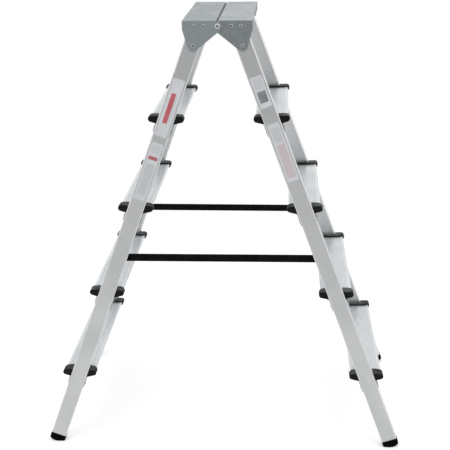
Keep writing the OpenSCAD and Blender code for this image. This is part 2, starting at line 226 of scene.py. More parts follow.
@dataclass(frozen=True)
class Corner:
    """Frames on one stile, drawn at the far right and mirrored to their own side and end."""

    sizes: Sizes
    side: Side
    end: End

    @property
    def mirror(self) -> Matrix:
        """Mirrors the far right corner to this one."""
        return Matrix.Diagonal((self.side.sign, self.end.sign, 1, 1))

    @property
    def on_stile(self) -> Matrix:
        """Frame on the stile's outer face level with the pivot: Y outwards, Z up the stile."""
        s = self.sizes
        return (self.mirror @ move(0, 0, s.hinge_z) @ turn(-s.lean, "Y")
                @ move(s.section_d, s.half_l(self.side), 0) @ turn(s.flare, "X"))

    @property
    def on_cheek(self) -> Matrix:
        """Frame on the stile's outer face with its origin on the pivot axis and X level."""
        return self.on_stile @ move(-self.sizes.section_d, 0, 0) @ turn(self.sizes.lean, "Y")

    @property
    def axis(self) -> Vector:
        """Direction up the stile."""
        return (self.on_stile.to_3x3() @ Vector((0, 0, 1))).normalized()

    def on_inner(self, z: float) -> Matrix:
        """Frame on the stile's inner face at one height: X level, Y towards the stile."""
        s = self.sizes
        return self.on_stile @ move(0, -s.stile_t, s.along(z)) @ turn(s.lean, "Y")

    def on_tread(self, step: int) -> Matrix:
        """Frame on the middle of a tread's top, square to the tread.

        Args:
            step: The tread's number, from the top.

        Returns:
            The frame.
        """
        s = self.sizes
        z = s.tread_z(step) - s.tread_h / 2
        x = s.stile_x + (s.hinge_z - z) * math.tan(s.lean)
        tipped = self.mirror @ move(x, 0, z) @ turn(s.tread_lean - s.lean, "Y")
        return tipped @ move(0, 0, s.tread_h / 2)


class Graph:
    """A shader tree, with short ways to add nodes and join them."""

    def __init__(self, tree: bpy.types.NodeTree) -> None:
        """Takes the tree that the nodes go into."""
        self.tree = tree

    def node(self, kind: str, inputs: Optional[dict[Any, Any]] = None, **settings: Any) -> bpy.types.Node:
        """Adds a node.

        Args:
            kind: The node's type, without its ShaderNode prefix.
            inputs: A value, a hex colour or an output socket for each input, by name or place.
            settings: The node's own properties.

        Returns:
            The node.
        """
        made = self.tree.nodes.new(f"ShaderNode{kind}")
        for key, value in settings.items():
            setattr(made, key, value)
        for key, value in (inputs or {}).items():
            self.feed(made.inputs[key], value)
        return made

    def feed(self, socket: Socket, value: Any) -> None:
        """Sets an input, or links it to an output.

        Args:
            socket: The input.
            value: A value, a hex colour or an output socket.
        """
        if isinstance(value, Socket):
            self.tree.links.new(value, socket)
        else:
            socket.default_value = linear(value) if isinstance(value, str) else value

    def math(self, operation: str, *values: Any) -> Socket:
        """Adds a Math node and returns its output."""
        return self.node("Math", dict(enumerate(values)), operation=operation).outputs[0]

    def vector(self, operation: str, *values: Any) -> Socket:
        """Adds a Vector Math node and returns its vector."""
        return self.node("VectorMath", dict(enumerate(values)), operation=operation).outputs[0]

    def measure(self, operation: str, *values: Any) -> Socket:
        """Adds a Vector Math node and returns its number."""
        return self.node("VectorMath", dict(enumerate(values)), operation=operation).outputs["Value"]

    def weigh(self, *parts: tuple[Any, float]) -> Socket:
        """Adds values up by their weights.

        Args:
            parts: Each value with its weight.

        Returns:
            The sum.
        """
        total, *others = [self.math("MULTIPLY", *part) for part in parts]
        for part in others:
            total = self.math("ADD", total, part)
        return total

    def spread(self, value: Any, low: float, high: float, start: Any = 0.0, stop: Any = 1.0) -> Socket:
        """Maps a range of a value smoothly to another range.

        Args:
            value: The value or socket that is mapped.
            low: The value that becomes start.
            high: The value that becomes stop.
            start: First end of the new range.
            stop: Other end of the new range.

        Returns:
            The mapped value.
        """
        inputs = {"Value": value, "From Min": low, "From Max": high, "To Min": start, "To Max": stop}
        return self.node("MapRange", inputs, interpolation_type="SMOOTHSTEP").outputs[0]

    def mix(self, factor: Any, first: Any, second: Any) -> Socket:
        """Mixes two colours and returns the result."""
        return self.node("Mix", {0: factor, 6: first, 7: second}, data_type="RGBA").outputs[2]

    def noise(self, vector: Any, scale: Any, detail: float = 2.0, roughness: float = 0.5) -> Socket:
        """Adds a noise texture and returns its value."""
        inputs = {"Vector": vector, "Scale": scale, "Detail": detail, "Roughness": roughness}
        return self.node("TexNoise", inputs).outputs[0]

    def turned(self, vector: Any, angles: Sequence[float]) -> Socket:
        """Turns a vector about the axes and returns it."""
        return self.node("Mapping", {"Vector": vector, "Rotation": tuple(angles)}).outputs[0]

    def effect(self, name: str, **inputs: Any) -> Any:
        """Places a shared effect, with its inputs by name, and returns its outputs."""
        sockets = {key.replace("_", " ").title(): value for key, value in inputs.items()}
        return self.node("Group", sockets, node_tree=bpy.data.node_groups[name]).outputs

    def seen(self) -> Socket:
        """Tells surfaces that the camera sees, straight or through a mirror, from the light they give.

        Returns:
            One where a surface is seen, and zero for its light.
        """
        path = self.node("LightPath").outputs
        plain = self.math("MAXIMUM", path["Is Camera Ray"], path["Is Glossy Ray"])
        return self.math("MAXIMUM", plain, path["Is Transmission Ray"])


@dataclass(frozen=True)
class Effects:
    """The shader node groups that several finishes use."""

    line_length: float = 0.006
    broad_line: float = 0.16
    drift_scale: float = 160.0
    drift: float = 6 * MM
    scuff_turns: tuple[float, float] = (0.5, -1.1)
    scuff_length: float = 0.035
    patch_scale: float = 14.0
    wear_scale: float = 180.0
    dust_scale: float = 42.0
    print_blur: float = 0.1 * MM
    vectors: tuple[str, ...] = ("Vector", "Normal", "Centre", "Half Size")

    def build(self) -> None:
        """Builds every group."""
        for group in (self.draw_lines, self.blotches, self.spangle, self.scuffs, self.edge_wear, self.dust,
                      self.hollows, self.painted_corner_highlight, self.moulded_grain, self.block):
            group()

    def start(self, name: str, inputs: Sequence[str], outputs: Sequence[str]) -> tuple[Graph, Any, Any]:
        """Starts a node group.

        Args:
            name: The group's name.
            inputs: Names of its inputs.
            outputs: Names of its outputs.

        Returns:
            Its graph, what it is given, and where its results go.
        """
        tree = bpy.data.node_groups.new(name, "ShaderNodeTree")
        for direction, sockets in (("INPUT", inputs), ("OUTPUT", outputs)):
            for socket in sockets:
                kind = "NodeSocketVector" if socket in self.vectors else "NodeSocketFloat"
                tree.interface.new_socket(socket, in_out=direction, socket_type=kind)
        given = tree.nodes.new("NodeGroupInput")
        out = tree.nodes.new("NodeGroupOutput")
        return Graph(tree), given.outputs, out.inputs

    @staticmethod
    def put_out(g: Graph, given: Any, out: Any, mask: Socket) -> None:
        """Puts out a mask, times the amount that the group is given."""
        g.feed(out["Mask"], g.math("MULTIPLY", mask, given["Amount"]))

    def draw_lines(self) -> None:
        """Fine lines that the extrusion die leaves along Z."""
        g, given, out = self.start("draw_lines", ("Vector", "Scale"), ("Tone",))
        thin = g.vector("MULTIPLY", given["Vector"], (1.0, 1.0, self.line_length))
        fine = g.noise(thin, given["Scale"], 3.0, 0.65)
        broad = g.noise(thin, g.math("MULTIPLY", given["Scale"], self.broad_line), 1.0)
        g.feed(out["Tone"], g.spread(g.weigh((fine, 0.6), (broad, 0.4)), 0.3, 0.7))

    def blotches(self) -> None:
        """Slow changes of tone over a surface."""
        g, given, out = self.start("blotches", ("Vector", "Scale"), ("Tone",))
        g.feed(out["Tone"], g.spread(g.noise(given["Vector"], given["Scale"], 3.0), 0.32, 0.68))

    def spangle(self) -> None:
        """Zinc crystals of a galvanised sheet, each with a tone of its own."""
        g, given, out = self.start("spangle", ("Vector", "Scale"), ("Tone", "Border"))
        cloud = g.node("TexNoise", {"Vector": given["Vector"], "Scale": self.drift_scale, "Detail": 2.0})
        offset = g.vector("MULTIPLY", cloud.outputs["Color"], (self.drift,) * 3)
        place = {"Vector": g.vector("ADD", given["Vector"], offset), "Scale": given["Scale"]}
        cells = g.node("TexVoronoi", place)
        rims = g.node("TexVoronoi", place, feature="DISTANCE_TO_EDGE")
        g.feed(out["Tone"], g.node("SeparateColor", {0: cells.outputs["Color"]}).outputs[0])
        g.feed(out["Border"], g.spread(rims.outputs["Distance"], 0.0, 0.09, 1.0, 0.0))

    def scuffs(self) -> None:
        """Sparse short scratches in two directions."""
        g, given, out = self.start("scuffs", ("Vector", "Scale", "Amount"), ("Mask",))
        masks = []
        for angle in self.scuff_turns:
            turned = g.turned(given["Vector"], (angle, angle * 0.7, angle * 1.9))
            thin = g.vector("MULTIPLY", turned, (1.0, 1.0, self.scuff_length))
            line = g.spread(g.noise(thin, given["Scale"]), 0.66, 0.74)
            patch = g.spread(g.noise(turned, self.patch_scale), 0.5, 0.7)
            masks.append(g.math("MULTIPLY", line, patch))
        self.put_out(g, given, out, g.math("MAXIMUM", *masks))

    def edge_wear(self) -> None:
        """Rubbed edges, broken up by noise."""
        g, given, out = self.start("edge_wear", ("Vector", "Radius", "Amount"), ("Mask",))
        soft = g.node("Bevel", {"Radius": given["Radius"]}, samples=4).outputs[0]
        bend = g.measure("DOT_PRODUCT", soft, g.node("NewGeometry").outputs["Normal"])
        edge = g.spread(bend, 0.995, 0.85)
        broken = g.spread(g.noise(given["Vector"], self.wear_scale, 4.0, 0.6), 0.35, 0.65)
        self.put_out(g, given, out, g.math("MULTIPLY", edge, broken))

    def dust(self) -> None:
        """Dust that lies on faces that look up; on the caps it is also a painted sheen on their tops."""
        g, given, out = self.start("dust", ("Vector", "Amount"), ("Mask",))
        up = g.node("SeparateXYZ", {0: g.node("NewGeometry").outputs["Normal"]}).outputs[2]
        lying = g.spread(up, 0.55, 0.95)
        cloud = g.spread(g.noise(given["Vector"], self.dust_scale, 5.0, 0.62), 0.3, 0.75)
        self.put_out(g, given, out, g.math("MULTIPLY", lying, cloud))

    def hollows(self) -> None:
        """Painted shade in grooves and inner corners, from ambient occlusion."""
        g, given, out = self.start("hollows", ("Reach", "Amount"), ("Mask",))
        sky = g.node("AmbientOcclusion", {"Distance": given["Reach"]}, samples=8, only_local=True)
        self.put_out(g, given, out, g.spread(sky.outputs["AO"], 0.55, 0.98, 1.0, 0.0))

    def painted_corner_highlight(self) -> None:
        """Painted highlight on a tube's rounded corners, from a normal turned so that the tube lies along Z.
        """
        g, given, out = self.start("painted_corner_highlight", ("Normal", "Amount"), ("Mask",))
        wide, narrow, _ = g.node("SeparateXYZ", {0: given["Normal"]}).outputs
        slant = g.math("ABSOLUTE", g.math("MULTIPLY", wide, narrow))
        self.put_out(g, given, out, g.spread(slant, 0.15, 0.35))

    def moulded_grain(self) -> None:
        """Fine spark-eroded grain of a moulding, as a height."""
        g, given, out = self.start("moulded_grain", ("Vector", "Scale"), ("Height",))
        coarse = g.noise(given["Vector"], given["Scale"], 3.0, 0.6)
        cells = g.node("TexVoronoi", {"Vector": given["Vector"], "Scale": given["Scale"]})
        g.feed(out["Height"], g.weigh((coarse, 1.0), (cells.outputs["Distance"], 0.5)))

    def block(self) -> None:
        """A printed block with rounded corners, in the units of its vector."""
        g, given, out = self.start("block", ("Vector", "Centre", "Half Size", "Radius"), ("Mask",))
        inset = g.vector("ABSOLUTE", g.vector("SUBTRACT", given["Vector"], given["Centre"]))
        corner = g.node("CombineXYZ", {axis: given["Radius"] for axis in range(2)}).outputs[0]
        past = g.vector("ADD", g.vector("SUBTRACT", inset, given["Half Size"]), corner)
        flat = g.vector("MULTIPLY", g.vector("MAXIMUM", past, (0.0, 0.0, 0.0)), (1.0, 1.0, 0.0))
        gap = g.math("SUBTRACT", given["Radius"], g.measure("LENGTH", flat))
        g.feed(out["Mask"], g.spread(gap, -self.print_blur, self.print_blur))


@dataclass(frozen=True)
class Finish:
    """A named surface finish."""

    name: str
    base: str

    def material(self) -> bpy.types.Material:
        """Makes the finish's material, unless it's made already.

        Returns:
            The material.
        """
        made = bpy.data.materials.get(self.name)
        if not made:
            made = bpy.data.materials.new(self.name)
            made.use_nodes = True
            made.diffuse_color = linear(self.base)
            self.paint(Graph(made.node_tree), made.node_tree.nodes["Principled BSDF"])
        return made

    def paint(self, g: Graph, shader: bpy.types.Node) -> None:
        """Wires the finish's effects into its shader."""
        raise NotImplementedError

    @staticmethod
    def place(g: Graph) -> Socket:
        """Object coordinates, which are the model's own frame."""
        return g.node("TexCoord").outputs["Object"]

    @staticmethod
    def bump(g: Graph, shader: bpy.types.Node, height: Any, depth: float, strength: float = 1.0) -> None:
        """Feeds a height to the shader's normal, through a bump of the given depth."""
        made = g.node("Bump", {"Height": height, "Distance": depth, "Strength": strength})
        g.feed(shader.inputs["Normal"], made.outputs[0])


@dataclass(frozen=True)
class ExtrudedAluminium(Finish):
    """Mill-finished extrusion: die lines along it, slow blotches, scuffs, painted corner highlights and
    painted hollow shade.
    """

    dark: str
    axis: Triple = (0.0, 1.0, 0.0)
    metallic: float = 0.75
    roughness: float = 0.36
    line_scale: float = 900.0
    line_depth: float = 0.008 * MM
    cloud_scale: float = 9.0
    scuff_scale: float = 420.0
    scuffed: float = 0.35
    scratch: str = "dfe1e2"
    # Painted highlight: strength and colour of a near-white painted on rounded tube corners.
    edge_brightening: float = 0.0
    corner: str = "fbfbfb"
    dust_and_sheen: float = 0.06
    dust: str = "b7b2a8"
    # Painted shade: grooves and inner corners darken towards this colour by ambient occlusion.
    hollow_shading: float = 0.0
    hollow_shade: str = "6f7274"
    groove: float = 2.5 * MM

    def paint(self, g: Graph, shader: bpy.types.Node) -> None:
        """Lays the lines along the extrusion and lets them change tone, gloss and height.

        Args:
            g: The material's graph.
            shader: Its shader.
        """
        place = self.place(g)
        angles = Vector(self.axis).rotation_difference(Vector((0, 0, 1))).to_euler()
        lines = g.effect("draw_lines", vector=g.turned(place, angles), scale=self.line_scale)["Tone"]
        cloud = g.effect("blotches", vector=place, scale=self.cloud_scale)["Tone"]
        scuffs = g.effect("scuffs", vector=place, scale=self.scuff_scale, amount=self.scuffed)["Mask"]
        dust = g.effect("dust", vector=place, amount=self.dust_and_sheen)["Mask"]
        # Painted shade: ambient occlusion darkens grooves and inner corners.
        hollow_shade = g.effect("hollows", reach=self.groove, amount=self.hollow_shading)["Mask"]
        tone = g.weigh((lines, 0.35), (cloud, 0.65))
        shade = g.mix(scuffs, g.mix(tone, self.dark, self.base), self.scratch)
        # Painted highlight on the tube's rounded corners.
        if self.edge_brightening:
            facing = g.turned(g.node("TexCoord").outputs["Normal"], angles)
            bright = g.effect("painted_corner_highlight", normal=facing, amount=self.edge_brightening)["Mask"]
            shade = g.mix(bright, shade, self.corner)
        g.feed(shader.inputs["Base Color"], g.mix(hollow_shade, g.mix(dust, shade, self.dust), self.hollow_shade))
        gloss = g.spread(tone, 0.0, 1.0, self.roughness + 0.06, self.roughness - 0.03)
        g.feed(shader.inputs["Roughness"], g.math("ADD", gloss, g.math("MULTIPLY", dust, 0.4)))
        g.feed(shader.inputs["Metallic"], g.spread(dust, 0.0, 1.0, self.metallic, 0.0))
        self.bump(g, shader, lines, self.line_depth)


@dataclass(frozen=True)
class GalvanisedSheet(Finish):
    """Hot-dipped steel sheet: faint zinc crystals, cloudy oxide and worn edges."""

    dark: str
    metallic: float = 0.55
    roughness: float = 0.42
    crystal_scale: float = 110.0
    crystal_depth: float = 0.015 * MM
    cloud_scale: float = 11.0
    fine_scale: float = 70.0
    scuff_scale: float = 300.0
    scuffed: float = 0.2
    edge: float = 1.2 * MM
    worn: float = 0.5
    bright: str = "c3c8ca"
    dust_and_sheen: float = 0.08
    dust: str = "a9a59c"

    def paint(self, g: Graph, shader: bpy.types.Node) -> None:
        """Mixes crystals, clouds and wear.

        Args:
            g: The material's graph.
            shader: Its shader.
        """
        place = self.place(g)
        crystals = g.effect("spangle", vector=place, scale=self.crystal_scale)
        cloud = g.effect("blotches", vector=place, scale=self.cloud_scale)["Tone"]
        fine = g.effect("blotches", vector=place, scale=self.fine_scale)["Tone"]
        scuffs = g.effect("scuffs", vector=place, scale=self.scuff_scale, amount=self.scuffed)["Mask"]
        wear = g.effect("edge_wear", vector=place, radius=self.edge, amount=self.worn)["Mask"]
        dust = g.effect("dust", vector=place, amount=self.dust_and_sheen)["Mask"]
        tone = g.weigh((crystals["Tone"], 0.3), (cloud, 0.4), (fine, 0.3))
        zinc = g.mix(tone, self.dark, self.base)
        edge_brightening = g.mix(g.math("MAXIMUM", scuffs, wear), zinc, self.bright)
        g.feed(shader.inputs["Base Color"], g.mix(dust, edge_brightening, self.dust))
        gloss = g.spread(tone, 0.0, 1.0, self.roughness + 0.12, self.roughness - 0.06)
        g.feed(shader.inputs["Roughness"], gloss)
        g.feed(shader.inputs["Metallic"], g.spread(dust, 0.0, 1.0, self.metallic, 0.0))
        self.bump(g, shader, crystals["Border"], self.crystal_depth, 0.6)


@dataclass(frozen=True)
class PlatedSteel(Finish):
    """Zinc-plated steel of clips, plates and rivets."""

    dark: str = "8b8e90"
    metallic: float = 0.8
    roughness: float = 0.34
    worn: float = 0.5
    cloud_scale: float = 120.0
    edge: float = 0.6 * MM
    bright: str = "d6d9da"
    # Painted shade: hollows within this reach darken to near-black.
    hollow: float = 4 * MM
    hollow_shading: float = 0.95
    hollow_shade: str = "0b0c0c"

    def paint(self, g: Graph, shader: bpy.types.Node) -> None:
        """Mixes fine blotches, bright worn edges and painted shade in hollows.

        Args:
            g: The material's graph.
            shader: Its shader.
        """
        place = self.place(g)
        cloud = g.effect("blotches", vector=place, scale=self.cloud_scale)["Tone"]
        wear = g.effect("edge_wear", vector=place, radius=self.edge, amount=self.worn)["Mask"]
        # Painted shade: ambient occlusion darkens hollows to near-black.
        hollow_shade = g.effect("hollows", reach=self.hollow, amount=self.hollow_shading)["Mask"]
        edge_brightening = g.mix(wear, g.mix(cloud, self.dark, self.base), self.bright)
        g.feed(shader.inputs["Base Color"], g.mix(hollow_shade, edge_brightening, self.hollow_shade))
        gloss = g.spread(cloud, 0.0, 1.0, self.roughness + 0.1, self.roughness - 0.06)
        g.feed(shader.inputs["Roughness"], gloss)
        g.feed(shader.inputs["Metallic"], self.metallic)


@dataclass(frozen=True)
class MouldedPlastic(Finish):
    """Black moulded plastic or rubber: fine grain, worn edges, and dust that on the caps is also a painted
    sheen.
    """

    worn: str
    roughness: float
    dust_and_sheen: float
    specular: float
    grain_scale: float = 1400.0
    grain_depth: float = 0.03 * MM
    dust: str = "8a8f91"
    cloud_scale: float = 55.0
    clouded: float = 0.12
    edge: float = 0.8 * MM
    edge_brightening: float = 0.45

    def paint(self, g: Graph, shader: bpy.types.Node) -> None:
        """Mixes grain, wear, and dust that also paints a sheen on the caps' tops.

        Args:
            g: The material's graph.
            shader: Its shader.
        """
        place = self.place(g)
        grain = g.effect("moulded_grain", vector=place, scale=self.grain_scale)["Height"]
        cloud = g.effect("blotches", vector=place, scale=self.cloud_scale)["Tone"]
        wear = g.effect("edge_wear", vector=place, radius=self.edge, amount=self.edge_brightening)["Mask"]
        # On the caps this dust mask also lightens their tops as a painted sheen.
        dust = g.effect("dust", vector=place, amount=self.dust_and_sheen)["Mask"]
        shade = g.mix(g.math("MULTIPLY", cloud, self.clouded), self.base, self.worn)
        g.feed(shader.inputs["Base Color"], g.mix(dust, g.mix(wear, shade, self.worn), self.dust))
        gloss = g.spread(cloud, 0.0, 1.0, self.roughness - 0.05, self.roughness + 0.08)
        g.feed(shader.inputs["Roughness"], gloss)
        g.feed(shader.inputs["Specular IOR Level"], self.specular)
        self.bump(g, shader, grain, self.grain_depth)


@dataclass(frozen=True)
class Webbing(Finish):
    """Woven strap: slanting rows of picks between the ridges of the warp, on the strap's own map."""

    pick: float = 1.6 * MM
    rib: float = 2.0 * MM
    depth: float = 0.2 * MM
    thread: str = "101011"
    fuzz_scale: float = 2500.0
    fade_scale: float = 30.0
    faded: float = 0.08
    fade: str = "3a3938"
    specular: float = 0.06

    def paint(self, g: Graph, shader: bpy.types.Node) -> None:
        """Weaves a height from the map and paints shade into its hollows.

        Args:
            g: The material's graph.
            shader: Its shader.
        """
        cloth = g.node("TexCoord").outputs["UV"]
        along, across, _ = g.node("SeparateXYZ", {0: cloth}).outputs
        slant = g.math("PINGPONG", across, self.rib)
        warp = g.math("SINE", g.math("MULTIPLY", g.math("ADD", along, slant), math.tau / self.pick))
        ridge = g.math("COSINE", g.math("MULTIPLY", across, math.tau / self.rib))
        height = g.math("ADD", g.weigh((warp, 0.3), (ridge, 0.2)), 0.5)
        fuzz = g.noise(cloth, self.fuzz_scale, 3.0, 0.7)
        fade = g.effect("blotches", vector=cloth, scale=self.fade_scale)["Tone"]
        # Painted shade where the weave's height is low, times a random fuzz in tone.
        tone = g.math("MULTIPLY", height, g.spread(fuzz, 0.2, 0.8, 0.5, 1.0))
        shaded_weave = g.mix(tone, self.base, self.thread)
        g.feed(shader.inputs["Base Color"], g.mix(g.math("MULTIPLY", fade, self.faded), shaded_weave, self.fade))
        g.feed(shader.inputs["Roughness"], g.spread(height, 0.0, 1.0, 0.9, 0.75))
        g.feed(shader.inputs["Specular IOR Level"], self.specular)
        self.bump(g, shader, height, self.depth)


@dataclass(frozen=True)
class Block:
    """A printed block of a sticker, placed from the sticker's middle."""

    x: float
    y: float
    half_w: float
    half_h: float
    colour: str


@dataclass(frozen=True)
class StickerFilm(Finish):
    """Printed film with plain blocks of colour on the sticker's own map, in metres."""

    layout: Layout
    height: float
    width: float
    rim: float = 0.8 * MM
    corner_r: float = 1.5 * MM
    cloud_scale: float = 24.0
    clouded: float = 0.5
    cloud: str = "bbbdc0"
    rim_tone: str = "bfc1c3"
    scuff_scale: float = 500.0
    scuffed: float = 0.3
    scratch: str = "b4b5b7"
    ink: Pair = (0.92, 0.8)
    roughness: Pair = (0.3, 0.42)

    def blocks(self) -> Sequence[Block]:
        """Lists the blocks of the sticker's layout.

        Returns:
            The blocks.
        """
        tall = self.height
        prints = {
            Layout.BAR: (Block(1.6 * MM, -1 * MM, 5.8 * MM, 0.26 * tall, "b23f4b"),
                         Block(-6.4 * MM, 0.0, 0.5 * MM, 0.22 * tall, "8a8d8f")),
            Layout.FLAG: (Block(0.0, 0.39 * tall, 10 * MM, 0.07 * tall, "bbbdc0"),
                          Block(0.0, 0.235 * tall, 11.5 * MM, 0.03 * tall, "a43c47"),
                          Block(0.0, -0.13 * tall, 10.5 * MM, 0.27 * tall, "b6b8bb")),
            Layout.PANEL: (Block(0.0, 0.3 * tall, 10.5 * MM, 0.12 * tall, "b7b9bc"),
                           Block(0.0, -0.15 * tall, 10.5 * MM, 0.29 * tall, "bfb0b5")),
            Layout.PLATE: (Block(0.0, 0.27 * tall, 10.5 * MM, 0.17 * tall, "b9bbbe"),
                           Block(0.0, -0.16 * tall, 10.5 * MM, 0.18 * tall, "66696b")),
        }
        return prints[self.layout]

    def paint(self, g: Graph, shader: bpy.types.Node) -> None:
        """Prints the blocks on the film, greys its rim and scuffs it.

        Args:
            g: The material's graph.
            shader: Its shader.
        """
        film = g.node("TexCoord").outputs["UV"]
        place = self.place(g)
        cloud = g.effect("blotches", vector=place, scale=self.cloud_scale)["Tone"]
        scuffs = g.effect("scuffs", vector=place, scale=self.scuff_scale, amount=self.scuffed)["Mask"]
        shade = g.mix(g.math("MULTIPLY", cloud, self.clouded), self.base, self.cloud)
        for block in self.blocks():
            mask = g.effect("block", vector=film, centre=(block.x, block.y, 0.0),
                            half_size=(block.half_w, block.half_h, 1.0),
                            radius=min(block.half_w, self.corner_r))["Mask"]
            worn = g.math("MULTIPLY", mask, g.spread(cloud, 0.0, 1.0, *self.ink))
            shade = g.mix(worn, shade, block.colour)
        inner = (self.width / 2 - self.rim, self.height / 2 - self.rim, 1.0)
        body = g.effect("block", vector=film, centre=(0.0, 0.0, 0.0), half_size=inner, radius=self.corner_r)
        framed = g.mix(body["Mask"], self.rim_tone, shade)
        g.feed(shader.inputs["Base Color"], g.mix(scuffs, framed, self.scratch))
        g.feed(shader.inputs["Roughness"], g.spread(cloud, 0.0, 1.0, *self.roughness))


@dataclass(frozen=True)
class EasedPiece:
    """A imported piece, merged into one skin with its sharp edges rounded."""

    node: str
    slot: Slot
    radius: float
    segments: int = 2
    fold_radius: float = 0.0
    fold_segments: int = 4
    sharp: float = SMOOTH_ANGLE
    flat: float = math.radians(0.5)
    level: float = 0.99
    upright: float = 0.2
    sideways: float = 0.9

    def build(self, body: str, finish: Finish) -> bpy.types.Object:
        """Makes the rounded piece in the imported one's place.

        Args:
            body: Body that the piece rides on.
            finish: Finish of the piece.

        Returns:
            The piece's object.
        """
        bm = bmesh.new()
        bm.from_mesh(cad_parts[self.node].data)
        bmesh.ops.remove_doubles(bm, verts=bm.verts, dist=WELD)
        bmesh.ops.dissolve_limit(bm, angle_limit=self.flat, verts=bm.verts, edges=bm.edges)
        if self.fold_radius:
            self.round(bm, [e for e in bm.edges if self.is_fold(e)], self.fold_radius, self.fold_segments)
        hard = [e for e in bm.edges if e.is_manifold and e.is_convex and e.calc_face_angle() > self.sharp]
        self.round(bm, hard, self.radius, self.segments)
        return finished(bm, f"{self.node}_eased", body, self.slot, [finish], self.node)

    def is_fold(self, edge: bmesh.types.BMEdge) -> bool:
        """Tells whether an edge joins the flat top to an upright cheek.

        Args:
            edge: The edge.

        Returns:
            Whether it does.
        """
        if not edge.is_manifold or not edge.is_convex:
            return False
        low, high = sorted(face.normal.z for face in edge.link_faces)
        sides = max(abs(face.normal.y) for face in edge.link_faces)
        return high > self.level and abs(low) < self.upright and sides > self.sideways

    @staticmethod
    def round(bm: bmesh.types.BMesh, edges: Sequence[Any], radius: float, segments: int) -> None:
        """Rounds a set of edges by a radius."""
        bmesh.ops.bevel(bm, geom=edges, offset=radius, offset_type="OFFSET", segments=segments, profile=0.5,
                        affect="EDGES", clamp_overlap=True, material=-1)


def finished(bm: bmesh.types.BMesh, name: str, body: Optional[str], slot: Slot, finishes: Sequence[Finish],
             node: str) -> bpy.types.Object:
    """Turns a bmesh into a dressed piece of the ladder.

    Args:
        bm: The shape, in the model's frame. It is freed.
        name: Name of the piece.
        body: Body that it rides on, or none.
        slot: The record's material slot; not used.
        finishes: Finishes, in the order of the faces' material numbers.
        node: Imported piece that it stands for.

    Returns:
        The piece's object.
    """
    mesh = bpy.data.meshes.new(name)
    bm.to_mesh(mesh)
    bm.free()
    mesh.shade_smooth()
    mesh.set_sharp_from_angle(angle=SMOOTH_ANGLE)
    piece = bpy.data.objects.new(name, mesh)
    bpy.context.scene.collection.objects.link(piece)
    for finish in finishes:
        mesh.materials.append(finish.material())
    weighted = piece.modifiers.new("weighted_normals", "WEIGHTED_NORMAL")
    weighted.keep_sharp = True
    if body:
        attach(piece, body)
    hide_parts(node)
    LOG.info("%s: %d faces, for %s", name, len(mesh.polygons), node)
    return piece


def dress(node: str, finish: Finish) -> None:
    """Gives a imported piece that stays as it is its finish.

    Args:
        node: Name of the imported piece.
        finish: Its finish.
    """
    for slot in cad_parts[node].material_slots:
        slot.material = finish.material()
    LOG.info("%s: %s", node, finish.name)


@dataclass(frozen=True)
class Stiles:
    """The four tubes, which stay as packed, each with its die lines along its own lean."""

    sizes: Sizes
    # Near and far stiles are the same aluminium in two tones: painted light, lighter at the far end.
    near_tones: tuple[str, str] = ("c0c1c2", "b5b7b8")
    far_tones_painted_lighter: tuple[str, str] = ("d4d5d6", "c9cbcc")
    # Strength of the painted highlight on the tubes' rounded corners.
    edge_brightening: float = 0.32

    def build(self) -> None:
        """Dresses every stile."""
        for side, end in product(Side, End):
            axis = tuple(Corner(self.sizes, side, end).axis)
            name = f"{side.value}_stile_{end.value}"
            base, dark = self.near_tones if end is End.NEAR else self.far_tones_painted_lighter
            dress(name, ExtrudedAluminium(f"aluminium_{name}", base, dark, axis, edge_brightening=self.edge_brightening))


@dataclass(frozen=True)
class Treads:
    """The ribbed treads with their sleeves and clips."""

    # The treads' hollow shading is painted shade in their grooves.
    tread: Finish = ExtrudedAluminium("aluminium_tread", "dfe2e4", dark="d3d7d9", metallic=0.7,
                                      roughness=0.33, line_scale=700.0, dust_and_sheen=0.04, hollow_shading=0.4)
    # The caps' strong dust on faces that look up is also a painted sheen on their tops.
    cap: Finish = MouldedPlastic("plastic_cap", "060707", worn="34383a", roughness=0.5, dust_and_sheen=0.36,
                                 specular=0.14)
    clip: Finish = PlatedSteel("steel_clip", "b4b7b9")
    cap_radius: float = 0.9 * MM
    clip_radius: float = 0.35 * MM

    def build(self) -> None:
        """Dresses the treads and rounds the sleeves and clips."""
        for side, step in product(Side, STEPS):
            dress(f"{side.value}_tread_{step}", self.tread)
            clips = EasedPiece(f"{side.value}_brackets_{step}", Slot.BRACKET, self.clip_radius, segments=1)
            clips.build(side.body, self.clip)
            for end in End:
                node = f"{side.value}_cap_{end.value}_{step}"
                EasedPiece(node, Slot.CAP, self.cap_radius, segments=3).build(side.body, self.cap)


@dataclass(frozen=True)
class Feet:
    """The rubber feet."""

    rubber: Finish = MouldedPlastic("rubber_foot", "030303", worn="101010", roughness=0.82, grain_scale=900.0,
                                    grain_depth=0.05 * MM, dust_and_sheen=0.03, specular=0.05)
    radius: float = 0.35 * MM

    def build(self) -> None:
        """Rounds and dresses every foot."""
        for side, end in product(Side, End):
            foot = EasedPiece(f"{side.value}_foot_{end.value}", Slot.FOOT, self.radius)
            foot.build(side.body, self.rubber)


